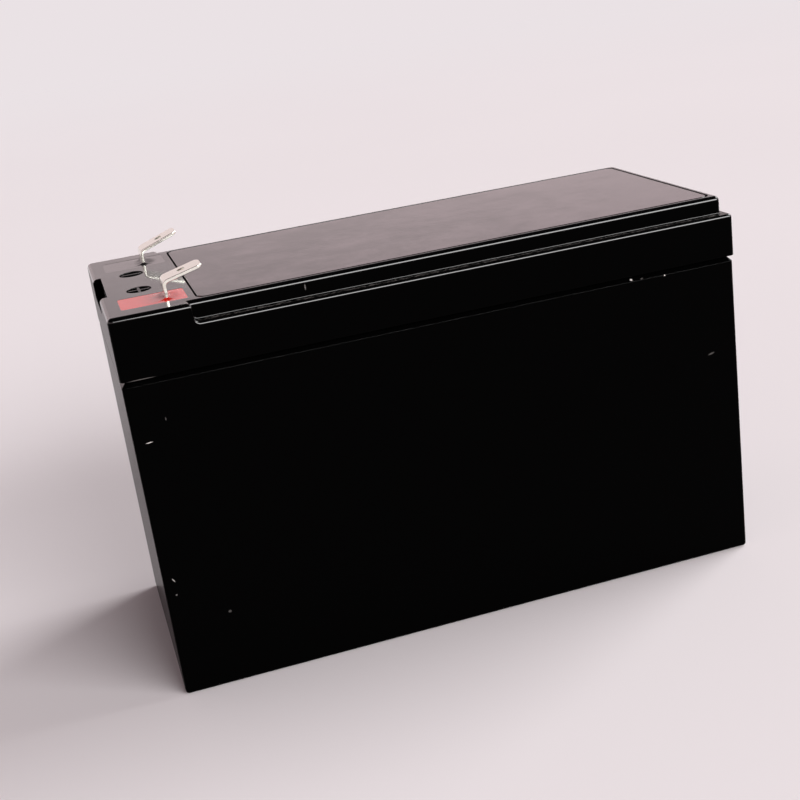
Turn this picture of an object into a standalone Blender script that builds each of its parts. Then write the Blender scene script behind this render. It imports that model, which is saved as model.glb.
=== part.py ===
"""Sealed lead-acid battery for an uninterruptible power supply: 12 V, six cells in two rows of three.

Metres, +Z up. X runs along the case with the terminals at the -X end, Y runs across it with the positive
side at -Y, and the origin is the middle of the case's underside.
"""
import math

import bmesh
import bpy
from mathutils import Vector

# Overall sizes, over the lid
LENGTH = 0.151
WIDTH = 0.065
HEIGHT = 0.094

# Clearance left between two pieces that touch
FIT = 0.0003

# Container
LID_OVERHANG = 0.0004
WALL = 0.0026
FLOOR = 0.0028
PARTITION = 0.0016
CORNER_RADIUS = 0.0012
FOOT_RADIUS = 0.0010
GROOVE_HEIGHT = 0.0014
RIM_INSET = 0.0014
CELL_CORNER = 0.0008
CELLS_PER_ROW = 3
PARTITION_DROP = 0.0023

# Lid
SKIRT_DEPTH = 0.0147
LEDGE_DROP = 0.00435
LEDGE_SIDE = 0.0025
LEDGE_END = 0.0018
LEDGE_THICKNESS = 0.0024
BLOCK_LENGTH = 0.0185
TOP_FILLET = 0.00115
LEDGE_FILLET = 0.00085
STEP_CORNER = 0.0010
DECK_THICKNESS = 0.0022
CHAMBER_DEPTH = 0.0068
GLUE_DEPTH = 0.0016

# Vent cover and the recess that it is welded into
LAND = 0.0016
END_LAND = 0.0018
COVER_GAP = 0.0004
COVER_THICKNESS = 0.0020
COVER_CORNER = 0.0022
COVER_FILLET = 0.0003
COVER_STEP = 0.0014

# Vents: one well, neck and rubber cap over each cell
VENT_SHIFT = 0.0069
WELL_RADIUS = 0.00725
WELL_SINK = 0.0018
BOSS_WALL = 0.0015
NECK_RADIUS = 0.0037
NECK_BORE = 0.0022
CAP_WALL = 0.0015
CAP_TOP = 0.0012
CAP_CHAMFER = 0.0006

# Terminals: bent blade tabs of the 6.35 mm size; the negative one stands nearer the end and is bent lower
TAB_WIDTH = 0.00635
TAB_THICKNESS = 0.0008
TAB_FROM_END = 0.0142
TAB_FROM_SIDE = 0.0114
TAB_RISE = 0.0039
TAB_REACH = 0.0093
TAB_TILT = math.radians(14.0)
NEGATIVE_SET_BACK = 0.0007
NEGATIVE_RISE = 0.0032
NEGATIVE_TILT = math.radians(19.5)
TAB_BEND = 0.0012
TAB_FOOT = 0.0030
TAB_TIP_LENGTH = 0.0010
TAB_TIP_NARROWING = 0.0008
TAB_TIP_THINNING = 0.00018
TAB_HOLE = 0.0009
TAB_HOLE_FROM_TIP = 0.0046

# Epoxy pockets round the tabs
POCKET_LENGTH = 0.0150
POCKET_WIDTH = 0.0106
POCKET_AHEAD = 0.0030
POCKET_DEPTH = 0.0030
POCKET_CORNER = 0.0008
SEAL_DROP = 0.00015

# Notch in the end of the terminal block, and the two polarity marks, each raised in a round dish
NOTCH_WIDTH = 0.0216
NOTCH_DEPTH = 0.0020
DISH_RADIUS = 0.0029
DISH_DEPTH = 0.0005
MARK_LENGTH = 0.0050
MARK_STROKE = 0.0007
MARK_BELOW = 0.00005
MARK_FROM_END = 0.0094
MARK_FROM_MIDDLE = 0.0091
CORE_WALL = 0.0024
CORE_WIDTH = 0.0230

# Plates, glass mat and lead
POSITIVE_THICKNESS = 0.0019
NEGATIVE_THICKNESS = 0.0011
LEAST_MAT = 0.0005
PLATE_SIDE_GAP = 0.0011
PLATE_LIFT = 0.0016
MAT_RISE = 0.0022
LUG_WIDTH = 0.0080
STRAP_CLEAR = 0.0035
STRAP_WIDTH = 0.0090
STRAP_HEIGHT = 0.0040
STRAP_CORNER = 0.0015
LUG_BITE = 0.0015
BRIDGE_WIDTH = 0.0080
BRIDGE_HEIGHT = 0.0030
BRIDGE_DROP = 0.0033
BRIDGE_REACH = 0.0140
POST_RADIUS = 0.0043

# Steps in an arc of a quarter turn, sides on a round piece and the least radius of a rounded corner
ARC_STEPS = 3
ROUND_SIDES = 20
LEAST_RADIUS = 0.0002

# How far a cutter goes past what it cuts
CUT_PAST = 0.0010

# Places worked out from the sizes above
HALF_LENGTH = LENGTH / 2
HALF_WIDTH = WIDTH / 2
SKIRT_Z = HEIGHT - SKIRT_DEPTH
LEDGE_Z = HEIGHT - LEDGE_DROP
DECK_TOP = HEIGHT - CHAMBER_DEPTH
DECK_BOTTOM = DECK_TOP - DECK_THICKNESS
GROOVE_TOP = LEDGE_Z - LEDGE_THICKNESS
RIM_Z = GROOVE_TOP - GLUE_DEPTH
PARTITION_Z = DECK_BOTTOM - PARTITION_DROP
STEP_Z = HEIGHT - COVER_THICKNESS - FIT
WELL_FLOOR = DECK_TOP - WELL_SINK
NECK_TOP = STEP_Z - CAP_TOP - 2 * FIT
POCKET_FLOOR = HEIGHT - POCKET_DEPTH
BLOCK_X = BLOCK_LENGTH - HALF_LENGTH
TAB_X = TAB_FROM_END - HALF_LENGTH
TAB_Y = HALF_WIDTH - TAB_FROM_SIDE

SKIRT_WALL = LID_OVERHANG + RIM_INSET - FIT
RIM_INSIDE = LID_OVERHANG + WALL
CELL_LENGTH = (LENGTH - 2 * RIM_INSIDE - (CELLS_PER_ROW - 1) * PARTITION) / CELLS_PER_ROW
CELL_DEPTH = (WIDTH - 2 * RIM_INSIDE - PARTITION) / 2
CELL_PITCH = CELL_LENGTH + PARTITION
CELL_Y = (CELL_DEPTH + PARTITION) / 2

BRIDGE_Z = PARTITION_Z - BRIDGE_DROP - BRIDGE_HEIGHT
STRAP_Z = BRIDGE_Z - FIT - STRAP_HEIGHT
PLATE_TOP = STRAP_Z - STRAP_CLEAR - MAT_RISE
PLATE_BOTTOM = FLOOR + PLATE_LIFT
POST_TOP = POCKET_FLOOR - FIT
LUG_X = CELL_PITCH * (CELLS_PER_ROW - 1) / 2 + TAB_X
VENT_SPACING = CELL_PITCH - VENT_SHIFT

# A cell takes as many pairs of plates as fit between its walls, and the mats fill the rest
PLATE_ROOM = CELL_DEPTH - 2 * FIT - NEGATIVE_THICKNESS
PAIR_THICKNESS = POSITIVE_THICKNESS + NEGATIVE_THICKNESS + 4 * FIT
POSITIVE_PLATES = int(PLATE_ROOM / (PAIR_THICKNESS + 2 * LEAST_MAT))
NEGATIVE_PLATES = POSITIVE_PLATES + 1
MAT_RUNS = 2 * POSITIVE_PLATES
MAT_THICKNESS = (PLATE_ROOM - POSITIVE_PLATES * PAIR_THICKNESS) / MAT_RUNS


# Materials

def finish(name, colour, roughness, metallic=0.0):
    """A Principled material of one colour."""
    made = bpy.data.materials.new(name)
    made.use_nodes = True
    shader = made.node_tree.nodes["Principled BSDF"]
    shader.inputs["Base Color"].default_value = (*colour, 1.0)
    shader.inputs["Roughness"].default_value = roughness
    shader.inputs["Metallic"].default_value = metallic
    made.diffuse_color = (*colour, 1.0)
    return made


# Outlines: lists of points in a plane, anticlockwise

def rectangle(low, high, radius):
    """Corners of a rectangle from low to high, each with the radius that rounds it."""
    return [(low[0], low[1], radius), (high[0], low[1], radius), (high[0], high[1], radius), (low[0], high[1], radius)]


def rounded(corners, inset=0.0, steps=ARC_STEPS):
    """Points of a right-angled outline with its corners rounded, moved inwards by inset; a corner that would turn
    inside out keeps the least radius."""
    points = []
    for i, (x, y, radius) in enumerate(corners):
        corner = Vector((x, y))
        before = corner - Vector(corners[i - 1][:2])
        after = Vector(corners[(i + 1) % len(corners)][:2]) - corner
        before.normalize()
        after.normalize()
        inwards = Vector((-before.y, before.x)), Vector((-after.y, after.x))
        convex = 1 if before.cross(after) > 0 else -1
        reach = max(radius - convex * inset, LEAST_RADIUS)
        centre = corner + (convex * reach + inset) * (inwards[0] + inwards[1])
        for step in range(steps + 1):
            turn = math.radians(90) * step / steps
            points.append(centre - convex * reach * (math.cos(turn) * inwards[0] + math.sin(turn) * inwards[1]))
    return [tuple(point) for point in points]


def circle(radius, sides=ROUND_SIDES):
    """Points of a circle round the origin."""
    return [(radius * math.cos(math.tau * i / sides), radius * math.sin(math.tau * i / sides)) for i in range(sides)]


def cross_outline(length, stroke):
    """The twelve corners of an upright cross round the origin."""
    far, near = length / 2, stroke / 2
    arm = [(far, -near), (far, near), (near, near)]
    points = []
    for turn in range(4):
        c, s = round(math.cos(turn * math.pi / 2)), round(math.sin(turn * math.pi / 2))
        points += [(c * x - s * y, s * x + c * y) for x, y in arm]
    return points


# Solids: each is a list of rings with as many points, and its two end rings are capped

def layers(corners, levels, steps=ARC_STEPS):
    """Rings of one outline at several heights; a level is its height and how far the outline is inset there."""
    return [[(x, y, z) for x, y in rounded(corners, inset, steps)] for z, inset in levels]


def upright(points, low, high, at=(0.0, 0.0)):
    """Two rings of one outline, moved to a place: a prism."""
    return [[(x + at[0], y + at[1], z) for x, y in points] for z in (low, high)]


def turned(profile, at=(0.0, 0.0), sides=ROUND_SIDES):
    """Rings of a turned form whose profile is a list of radius and height."""
    return [[(x + at[0], y + at[1], z) for x, y in circle(radius, sides)] for radius, z in profile]


def block(low, high):
    """Two rings of a square-cornered box."""
    points = [(low[0], low[1]), (high[0], low[1]), (high[0], high[1]), (low[0], high[1])]
    return upright(points, low[2], high[2])


def along_x(points, low, high):
    """Two rings of an outline that lies in Y and Z, drawn out along X."""
    return [[(x, y, z) for y, z in points] for x in (low, high)]


def along_y(points, low, high):
    """Two rings of an outline that lies in X and Z, drawn out along Y."""
    return [[(x, y, z) for x, z in points] for y in (low, high)]


def quarter_round(top, radius, steps=ARC_STEPS):
    """Levels that round an upper edge off."""
    turns = [math.radians(90) * step / steps for step in range(steps + 1)]
    return [(top - radius + radius * math.sin(turn), radius - radius * math.cos(turn)) for turn in turns]


def solid(name, bodies, made_of=None):
    """An object holding one closed body for each list of rings; a list that ends with its first ring is a hoop."""
    form = bmesh.new()
    for rings in bodies:
        is_hoop = rings[0] == rings[-1]
        loops = [[form.verts.new(point) for point in ring] for ring in (rings[:-1] if is_hoop else rings)]
        if is_hoop:
            loops.append(loops[0])
        for lower, upper in zip(loops, loops[1:]):
            for i in range(len(lower)):
                j = (i + 1) % len(lower)
                form.faces.new((lower[i], lower[j], upper[j], upper[i]))
        if not is_hoop:
            form.faces.new(loops[0][::-1])
            form.faces.new(loops[-1])
    bmesh.ops.recalc_face_normals(form, faces=form.faces)
    mesh = bpy.data.meshes.new(name)
    form.to_mesh(mesh)
    form.free()
    return placed(name, mesh, made_of)


def placed(name, mesh, made_of=None, at=(0.0, 0.0, 0.0), turn=0.0):
    """An object that shows a mesh at a place, turned about the upright axis."""
    mesh.shade_smooth()
    mesh.set_sharp_from_angle(angle=math.radians(30))
    if made_of and not mesh.materials:
        mesh.materials.append(made_of)
    thing = bpy.data.objects.new(name, mesh)
    bpy.context.scene.collection.objects.link(thing)
    thing.location = at
    thing.rotation_euler = (0.0, 0.0, turn)
    return thing


def combine(body, operation, name, bodies):
    """Adds a Boolean to a body, with its helper kept out of the render."""
    helper = solid(name, bodies)
    helper.hide_render = True
    helper.display_type = "WIRE"
    change = body.modifiers.new(name, "BOOLEAN")
    change.operation = operation
    change.object = helper


def cut(body, name, bodies):
    combine(body, "DIFFERENCE", name, bodies)


def add(body, name, bodies):
    combine(body, "UNION", name, bodies)


def shared_mesh(thing):
    """The mesh of an object with its modifiers applied, for copies to share; the object and helpers go."""
    bpy.context.view_layer.update()
    graph = bpy.context.evaluated_depsgraph_get()
    mesh = bpy.data.meshes.new_from_object(thing.evaluated_get(graph))
    mesh.name = thing.name
    helpers = [change.object for change in thing.modifiers]
    for spare in [thing, *helpers]:
        bpy.data.objects.remove(spare, do_unlink=True)
    return mesh


# Where things are

def outer(inset):
    """Corners of the lid's outline, moved inwards."""
    return rectangle(
        (inset - HALF_LENGTH, inset - HALF_WIDTH),
        (HALF_LENGTH - inset, HALF_WIDTH - inset),
        max(CORNER_RADIUS - inset, CELL_CORNER),
    )


def cell_places():
    """Each cell's number, middle and the side of it that its positive strap is on."""
    number = 0
    for row in (-1, 1):
        for column in range(CELLS_PER_ROW):
            number += 1
            x = row * CELL_PITCH * ((CELLS_PER_ROW - 1) / 2 - column)
            yield number, x, row * CELL_Y, row


def bridge_places():
    """Each pair of neighbouring cells, the partition between them and the direction across it."""
    cells = list(cell_places())
    for (first, x1, y1, _), (second, x2, y2, _) in zip(cells, cells[1:]):
        if y1 == y2:
            yield first, second, (x1 + x2) / 2, y1, "x"
        else:
            yield first, second, x1 - LUG_X * (1 if x1 > 0 else -1), 0.0, "y"


def bridge_box(x, y, direction, across, reach, low, high):
    """A box centred on a partition, so wide across the bridge and reaching so far along it each way."""
    half = (reach, across / 2) if direction == "x" else (across / 2, reach)
    return block((x - half[0], y - half[1], low), (x + half[0], y + half[1], high))


def vent_places():
    """The middle of each vent."""
    for column in range(CELLS_PER_ROW):
        for row in (-1, 1):
            yield (VENT_SPACING * (column - (CELLS_PER_ROW - 1) / 2), row * CELL_Y)


def recess(inset):
    """Corners of the recess in the lid's top that takes the vent cover, moved inwards."""
    return rectangle(
        (BLOCK_X + END_LAND + inset, LEDGE_SIDE + LAND - HALF_WIDTH + inset),
        (HALF_LENGTH - LEDGE_END - LAND - inset, HALF_WIDTH - LEDGE_SIDE - LAND - inset),
        COVER_CORNER,
    )


def pocket(side, inset):
    """Corners of the epoxy pocket on one side, moved inwards."""
    front, back = side * TAB_Y - POCKET_WIDTH / 2, side * TAB_Y + POCKET_WIDTH / 2
    middle = TAB_X - POCKET_AHEAD
    return rectangle(
        (middle - POCKET_LENGTH / 2 + inset, front + inset),
        (middle + POCKET_LENGTH / 2 - inset, back - inset),
        POCKET_CORNER,
    )


# Container

def container(made_of):
    """Open-topped box: rounded foot, chamfer under the lid and a thin rim that stands inside the skirt."""
    foot = [(FOOT_RADIUS - drop, inset) for drop, inset in foot_round()]
    body = solid(
        "container",
        [
            layers(
                outer(LID_OVERHANG),
                [*foot, (SKIRT_Z - GROOVE_HEIGHT, 0.0), (SKIRT_Z, RIM_INSET), (RIM_Z, RIM_INSET)],
            )
        ],
        made_of,
    )
    cut(body, "cell_hollows", [cell_hollow(x, y) for _, x, y, _ in cell_places()])
    cut(body, "partition_tops", [layers(outer(RIM_INSIDE), [(PARTITION_Z, 0.0), (RIM_Z + CUT_PAST, 0.0)])])
    cut(
        body,
        "bridge_notches",
        [
            bridge_box(x, y, direction, BRIDGE_WIDTH + 2 * FIT, PARTITION, BRIDGE_Z - FIT, RIM_Z)
            for _, _, x, y, direction in bridge_places()
        ],
    )


def foot_round():
    """How far each level of the rounded foot lies under its top, and how far it is inset."""
    turns = [math.radians(90) * step / ARC_STEPS for step in range(ARC_STEPS, -1, -1)]
    return [(FOOT_RADIUS * math.sin(turn), FOOT_RADIUS * (1 - math.cos(turn))) for turn in turns]


def cell_hollow(x, y):
    """The room for one cell."""
    corners = rectangle(
        (x - CELL_LENGTH / 2, y - CELL_DEPTH / 2),
        (x + CELL_LENGTH / 2, y + CELL_DEPTH / 2),
        CELL_CORNER,
    )
    return layers(corners, [(FLOOR, 0.0), (RIM_Z + CUT_PAST, 0.0)], steps=1)


# Lid

def lid(made_of):
    """Skirted lid: ledge on three sides, terminal block, and a recess with six vents under the cover."""
    body = solid("lid", [layers(outer(0.0), [(SKIRT_Z, 0.0), *quarter_round(LEDGE_Z, LEDGE_FILLET)])], made_of)
    add(body, "raised_top", [layers(raised_outline(), [(SKIRT_Z, 0.0), *quarter_round(HEIGHT, TOP_FILLET)])])
    hollow_lid(body)
    vent_deck(body)
    partition_ribs(body)
    terminal_end(body)


def raised_outline():
    """The lid's top seen from above: the full-width terminal block and the narrower cover platform."""
    side = HALF_WIDTH - LEDGE_SIDE
    end = HALF_LENGTH - LEDGE_END
    return [
        (-HALF_LENGTH, -HALF_WIDTH, CORNER_RADIUS),
        (BLOCK_X, -HALF_WIDTH, STEP_CORNER),
        (BLOCK_X, -side, STEP_CORNER),
        (end, -side, CORNER_RADIUS),
        (end, side, CORNER_RADIUS),
        (BLOCK_X, side, STEP_CORNER),
        (BLOCK_X, HALF_WIDTH, STEP_CORNER),
        (-HALF_LENGTH, HALF_WIDTH, CORNER_RADIUS),
    ]


def hollow_lid(body):
    """Room under the deck, the glue channel for the container's rim and a core in the terminal block."""
    cut(body, "lid_hollow", [layers(outer(SKIRT_WALL), [(SKIRT_Z - CUT_PAST, 0.0), (DECK_BOTTOM, 0.0)])])
    channel = [(DECK_BOTTOM - CUT_PAST, 0.0), (GROOVE_TOP, 0.0)]
    cut(body, "glue_channel", [hoop(layers(outer(SKIRT_WALL), channel), layers(outer(RIM_INSIDE + FIT), channel))])
    cut(
        body,
        "block_core",
        [
            block(
                (RIM_INSIDE + CORE_WALL - HALF_LENGTH, -CORE_WIDTH / 2, DECK_BOTTOM - CUT_PAST),
                (BLOCK_X - CORE_WALL, CORE_WIDTH / 2, HEIGHT - CORE_WALL),
            )
        ],
    )


def hoop(outside, inside):
    """Rings that close on themselves round a hole, as for a square-sectioned hoop."""
    return [outside[0], outside[1], inside[1], inside[0], outside[0]]


def vent_deck(body):
    """Recess for the cover with a step under its edge, the gas chamber and a well with a neck for each cell."""
    places = list(vent_places())
    cut(body, "cover_recess", [layers(recess(0.0), [(STEP_Z, 0.0), (HEIGHT + CUT_PAST, 0.0)])])
    cut(body, "gas_chamber", [layers(recess(COVER_STEP), [(DECK_TOP, 0.0), (STEP_Z + CUT_PAST, 0.0)])])
    boss = WELL_RADIUS + BOSS_WALL
    floor = WELL_FLOOR - DECK_THICKNESS
    add(body, "well_bosses", [turned([(boss, floor), (boss, DECK_TOP - FIT)], at) for at in places])
    well = [(WELL_RADIUS, WELL_FLOOR), (WELL_RADIUS, DECK_TOP + CUT_PAST)]
    cut(body, "wells", [turned(well, at) for at in places])
    neck = [(NECK_RADIUS, WELL_FLOOR - FIT), (NECK_RADIUS, NECK_TOP)]
    add(body, "necks", [turned(neck, at) for at in places])
    bore = [(NECK_BORE, floor - CUT_PAST), (NECK_BORE, NECK_TOP + CUT_PAST)]
    cut(body, "neck_bores", [turned(bore, at) for at in places])


def partition_ribs(body):
    """Ribs that meet the container's partitions, with a tongue over each bridge that crosses one."""
    inside = RIM_INSIDE + FIT
    low, high = PARTITION_Z + FIT, DECK_BOTTOM + FIT
    half = PARTITION / 2
    add(body, "long_rib", [block((inside - HALF_LENGTH, -half, low), (HALF_LENGTH - inside, half, high))])
    crossings = [(column + 1 - CELLS_PER_ROW / 2) * CELL_PITCH for column in range(CELLS_PER_ROW - 1)]
    add(
        body,
        "cross_ribs",
        [block((x - half, inside - HALF_WIDTH, low), (x + half, HALF_WIDTH - inside, high)) for x in crossings],
    )
    add(
        body,
        "bridge_tongues",
        [
            bridge_box(x, y, direction, BRIDGE_WIDTH, half, BRIDGE_Z + BRIDGE_HEIGHT + FIT, high)
            for _, _, x, y, direction in bridge_places()
        ],
    )


def terminal_end(body):
    """Epoxy pockets with a hole for each post, the notch in the end and the polarity marks."""
    over = HEIGHT + CUT_PAST
    cut(body, "epoxy_pockets", [layers(pocket(side, 0.0), [(POCKET_FLOOR, 0.0), (over, 0.0)]) for side in (-1, 1)])
    hole = POST_RADIUS + FIT
    cut(
        body,
        "post_holes",
        [
            turned([(hole, DECK_BOTTOM - CUT_PAST), (hole, POCKET_FLOOR + CUT_PAST)], (TAB_X, side * TAB_Y))
            for side in (-1, 1)
        ],
    )
    cut(
        body,
        "end_notch",
        [
            block(
                (-HALF_LENGTH - CUT_PAST, -NOTCH_WIDTH / 2, LEDGE_Z),
                (NOTCH_DEPTH - HALF_LENGTH, NOTCH_WIDTH / 2, over),
            )
        ],
    )
    polarity_marks(body)


def polarity_marks(body):
    """A round dish beside each pocket with the mark standing in it, just below the top."""
    x, y = MARK_FROM_END - HALF_LENGTH, MARK_FROM_MIDDLE
    low, high = HEIGHT - DISH_DEPTH, HEIGHT - MARK_BELOW
    dish = [(DISH_RADIUS, low), (DISH_RADIUS, HEIGHT + CUT_PAST)]
    cut(body, "mark_dishes", [turned(dish, (x, side * y)) for side in (-1, 1)])
    plus = upright(cross_outline(MARK_LENGTH, MARK_STROKE), low - FIT, high, (x, -y))
    half = MARK_LENGTH / 2, MARK_STROKE / 2
    minus = block((x - half[0], y - half[1], low - FIT), (x + half[0], y + half[1], high))
    add(body, "raised_marks", [plus, minus])


def lid_adhesive(made_of):
    """Bead of epoxy in the glue channel, on top of the container's rim."""
    low, high = RIM_Z + FIT, GROOVE_TOP - FIT
    outside = layers(outer(SKIRT_WALL + FIT), [(low, 0.0), (high, 0.0)])
    inside = layers(outer(RIM_INSIDE), [(low, 0.0), (high, 0.0)])
    solid("lid_adhesive", [hoop(outside, inside)], made_of)


# Vents

def vent_cover(made_of):
    """Flat strip welded into the lid over the vents."""
    bottom = HEIGHT - COVER_THICKNESS
    solid(
        "vent_cover",
        [layers(recess(COVER_GAP), [(bottom, 0.0), *quarter_round(HEIGHT, COVER_FILLET, steps=1)])],
        made_of,
    )


def vent_caps(made_of):
    """Rubber caps that close the necks and lift under pressure."""
    inside = NECK_RADIUS + FIT
    outside = inside + CAP_WALL
    ceiling = NECK_TOP + FIT
    profile = [
        (inside, ceiling),
        (inside, WELL_FLOOR + FIT),
        (outside, WELL_FLOOR + FIT),
        (outside, ceiling + CAP_TOP - CAP_CHAMFER),
        (outside - CAP_CHAMFER, ceiling + CAP_TOP),
    ]
    mesh = shared_mesh(solid("vent_cap", [turned(profile)], made_of))
    for number, (x, y) in enumerate(vent_places(), start=1):
        placed(f"vent_cap_{number}", mesh, at=(x, y, 0.0))


# Terminals

def tab_path(rise, tilt):
    """Middle line of a tab from its foot to its tip, each point with the direction along the tab there. A tab that
    is bent lower reaches further, since both are cut to one length."""
    up, out = Vector((0.0, 0.0, 1.0)), Vector((math.cos(tilt), 0.0, math.sin(tilt)))
    turn = math.radians(90) - tilt
    reach = TAB_REACH + TAB_RISE - rise
    trim = TAB_BEND * math.tan(turn / 2)
    elbow = Vector((0.0, 0.0, HEIGHT + rise))
    centre = elbow - trim * up + TAB_BEND * Vector((1.0, 0.0, 0.0))
    path = [(Vector((0.0, 0.0, POST_TOP - TAB_FOOT + FIT)), up)]
    for step in range(2 * ARC_STEPS + 1):
        angle = turn * step / (2 * ARC_STEPS)
        path.append(
            (
                centre + TAB_BEND * Vector((-math.cos(angle), 0.0, math.sin(angle))),
                Vector((math.sin(angle), 0.0, math.cos(angle))),
            )
        )
    path.append((elbow + (reach - TAB_TIP_LENGTH) * out, out))
    path.append((elbow + reach * out, out))
    return path


def tab_mesh(name, rise, tilt, made_of):
    """A flat blade bent over towards the cover, with a narrowed tip and a hole for the receptacle's latch."""
    rings = []
    path = tab_path(rise, tilt)
    for i, (point, along) in enumerate(path):
        tip = i == len(path) - 1
        half_width = TAB_WIDTH / 2 - (TAB_TIP_NARROWING if tip else 0.0)
        half_thickness = TAB_THICKNESS / 2 - (TAB_TIP_THINNING if tip else 0.0)
        across = Vector((0.0, half_width, 0.0))
        through = along.cross(Vector((0.0, 1.0, 0.0))) * half_thickness
        corners = (across + through, across - through, -across - through, -across + through)
        rings.append([tuple(point + corner) for corner in corners])
    tab = solid(name, [rings], made_of)
    tip, along = path[-1]
    middle = tip - TAB_HOLE_FROM_TIP * along
    through = along.cross(Vector((0.0, 1.0, 0.0)))
    drill = []
    for side in (-1, 1):
        end = middle + side * TAB_THICKNESS * through
        drill.append([tuple(end + along * x + Vector((0.0, y, 0.0))) for x, y in circle(TAB_HOLE, ROUND_SIDES // 2)])
    cut(tab, f"{name}_latch_hole", [drill])
    return shared_mesh(tab)


def tab_place(side):
    """Where a tab stands on its post."""
    return TAB_X - (NEGATIVE_SET_BACK if side > 0 else 0.0), side * TAB_Y


def terminals(made_of):
    """The two tabs, each with its own bend."""
    for side, name, rise, tilt in (
        (-1, "positive_terminal", TAB_RISE, TAB_TILT),
        (1, "negative_terminal", NEGATIVE_RISE, NEGATIVE_TILT),
    ):
        placed(name, tab_mesh(f"{name}_blade", rise, tilt, made_of), at=(*tab_place(side), 0.0))


def seal(name, side, made_of):
    """Epoxy that fills a pocket round its tab."""
    low, high = POCKET_FLOOR + FIT, HEIGHT - SEAL_DROP
    body = solid(name, [layers(pocket(side, FIT), [(low, 0.0), (high, 0.0)])], made_of)
    half = (TAB_THICKNESS / 2 + FIT, TAB_WIDTH / 2 + FIT)
    x, y = tab_place(side)
    slot = block((x - half[0], y - half[1], low - CUT_PAST), (x + half[0], y + half[1], high + CUT_PAST))
    cut(body, f"{name}_slot", [slot])


# Cells

def plate_spans():
    """How far each plate and each run of mat reaches across a cell, from its front side."""
    edge = FIT - CELL_DEPTH / 2
    plates, runs = [], []
    for i in range(POSITIVE_PLATES + NEGATIVE_PLATES):
        thickness = NEGATIVE_THICKNESS if i % 2 == 0 else POSITIVE_THICKNESS
        plates.append((edge, edge + thickness))
        edge += thickness + FIT
        if i < MAT_RUNS:
            runs.append((edge, edge + MAT_THICKNESS))
            edge += MAT_THICKNESS + FIT
    return plates[0::2], plates[1::2], runs


def plate_group(name, spans, lug_x, made_of):
    """Pasted grids of one polarity, their lugs burned into one cast strap."""
    half = CELL_LENGTH / 2 - PLATE_SIDE_GAP
    lug = (lug_x - LUG_WIDTH / 2, lug_x + LUG_WIDTH / 2)
    top = STRAP_Z + LUG_BITE
    outline = [
        (-half, PLATE_BOTTOM),
        (half, PLATE_BOTTOM),
        (half, PLATE_TOP),
        (lug[1], PLATE_TOP),
        (lug[1], top),
        (lug[0], top),
        (lug[0], PLATE_TOP),
        (-half, PLATE_TOP),
    ]
    body = solid(name, [along_y(outline, low, high) for low, high in spans], made_of)
    strap = rectangle(
        (lug_x - STRAP_WIDTH / 2, spans[0][0]),
        (lug_x + STRAP_WIDTH / 2, spans[-1][1]),
        STRAP_CORNER,
    )
    add(body, f"{name}_strap", [layers(strap, [(STRAP_Z, 0.0), (STRAP_Z + STRAP_HEIGHT, 0.0)], steps=2)])
    return shared_mesh(body)


def separator(runs, slot_x, made_of):
    """One sheet of glass mat folded under each positive plate and over each inner negative one."""
    low, high = FLOOR + FIT, PLATE_TOP + MAT_RISE
    under, over = [], []
    for i, (front, back) in enumerate(runs):
        if i % 2 == 0:
            under += [(front, high - MAT_THICKNESS if i else high), (front, low)]
            over += [(back, high), (back, low + MAT_THICKNESS)]
        else:
            last = i == len(runs) - 1
            under += [(back, low), (back, high if last else high - MAT_THICKNESS)]
            over += [(front, low + MAT_THICKNESS), (front, high)]
    half = CELL_LENGTH / 2 - PLATE_SIDE_GAP / 2
    body = solid("glass_mat", [along_x(under + over[::-1], -half, half)], made_of)
    lug = LUG_WIDTH / 2 + FIT
    cut(
        body,
        "lug_slot",
        [
            block(
                (slot_x - lug, -CELL_DEPTH / 2, high - MAT_THICKNESS - FIT),
                (slot_x + lug, CELL_DEPTH / 2, high + CUT_PAST),
            )
        ],
    )
    return shared_mesh(body)


def post(body, side):
    """Lead post on an end strap, slotted for the foot of its tab."""
    profile = [(POST_RADIUS, STRAP_Z + STRAP_HEIGHT - FIT), (POST_RADIUS, POST_TOP)]
    add(body, f"{body.name}_post", [turned(profile, (TAB_X, side * TAB_Y))])
    x, y = tab_place(side)
    half = TAB_THICKNESS / 2 + FIT
    slot = block(
        (x - half, y - 2 * POST_RADIUS, POST_TOP - TAB_FOOT),
        (x + half, y + 2 * POST_RADIUS, POST_TOP + CUT_PAST),
    )
    cut(body, f"{body.name}_slot", [slot])


def cells(positive, negative, glass_mat):
    """Six cells; those of the back row are turned half round, so that each strap faces the next cell's."""
    negative_spans, positive_spans, runs = plate_spans()
    positive_mesh = plate_group("positive_plates", positive_spans, LUG_X, positive)
    negative_mesh = plate_group("negative_plates", negative_spans, -LUG_X, negative)
    mat_mesh = separator(runs, -LUG_X, glass_mat)
    for number, x, y, row in cell_places():
        turn = 0.0 if row < 0 else math.pi
        at = (x, y, 0.0)
        positives = placed(f"cell_{number}_positive_plates", positive_mesh, at=at, turn=turn)
        negatives = placed(f"cell_{number}_negative_plates", negative_mesh, at=at, turn=turn)
        placed(f"cell_{number}_glass_mat", mat_mesh, at=at, turn=turn)
        if number == 1:
            post(positives, row)
        if number == 2 * CELLS_PER_ROW:
            post(negatives, row)


def bridges(made_of):
    """Lead bars over the partitions, each joining a cell's negative strap to the next one's positive strap."""
    for first, second, x, y, direction in bridge_places():
        bar = bridge_box(x, y, direction, BRIDGE_WIDTH, BRIDGE_REACH, BRIDGE_Z, BRIDGE_Z + BRIDGE_HEIGHT)
        solid(f"cell_bridge_{first}_{second}", [bar], made_of)


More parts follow.
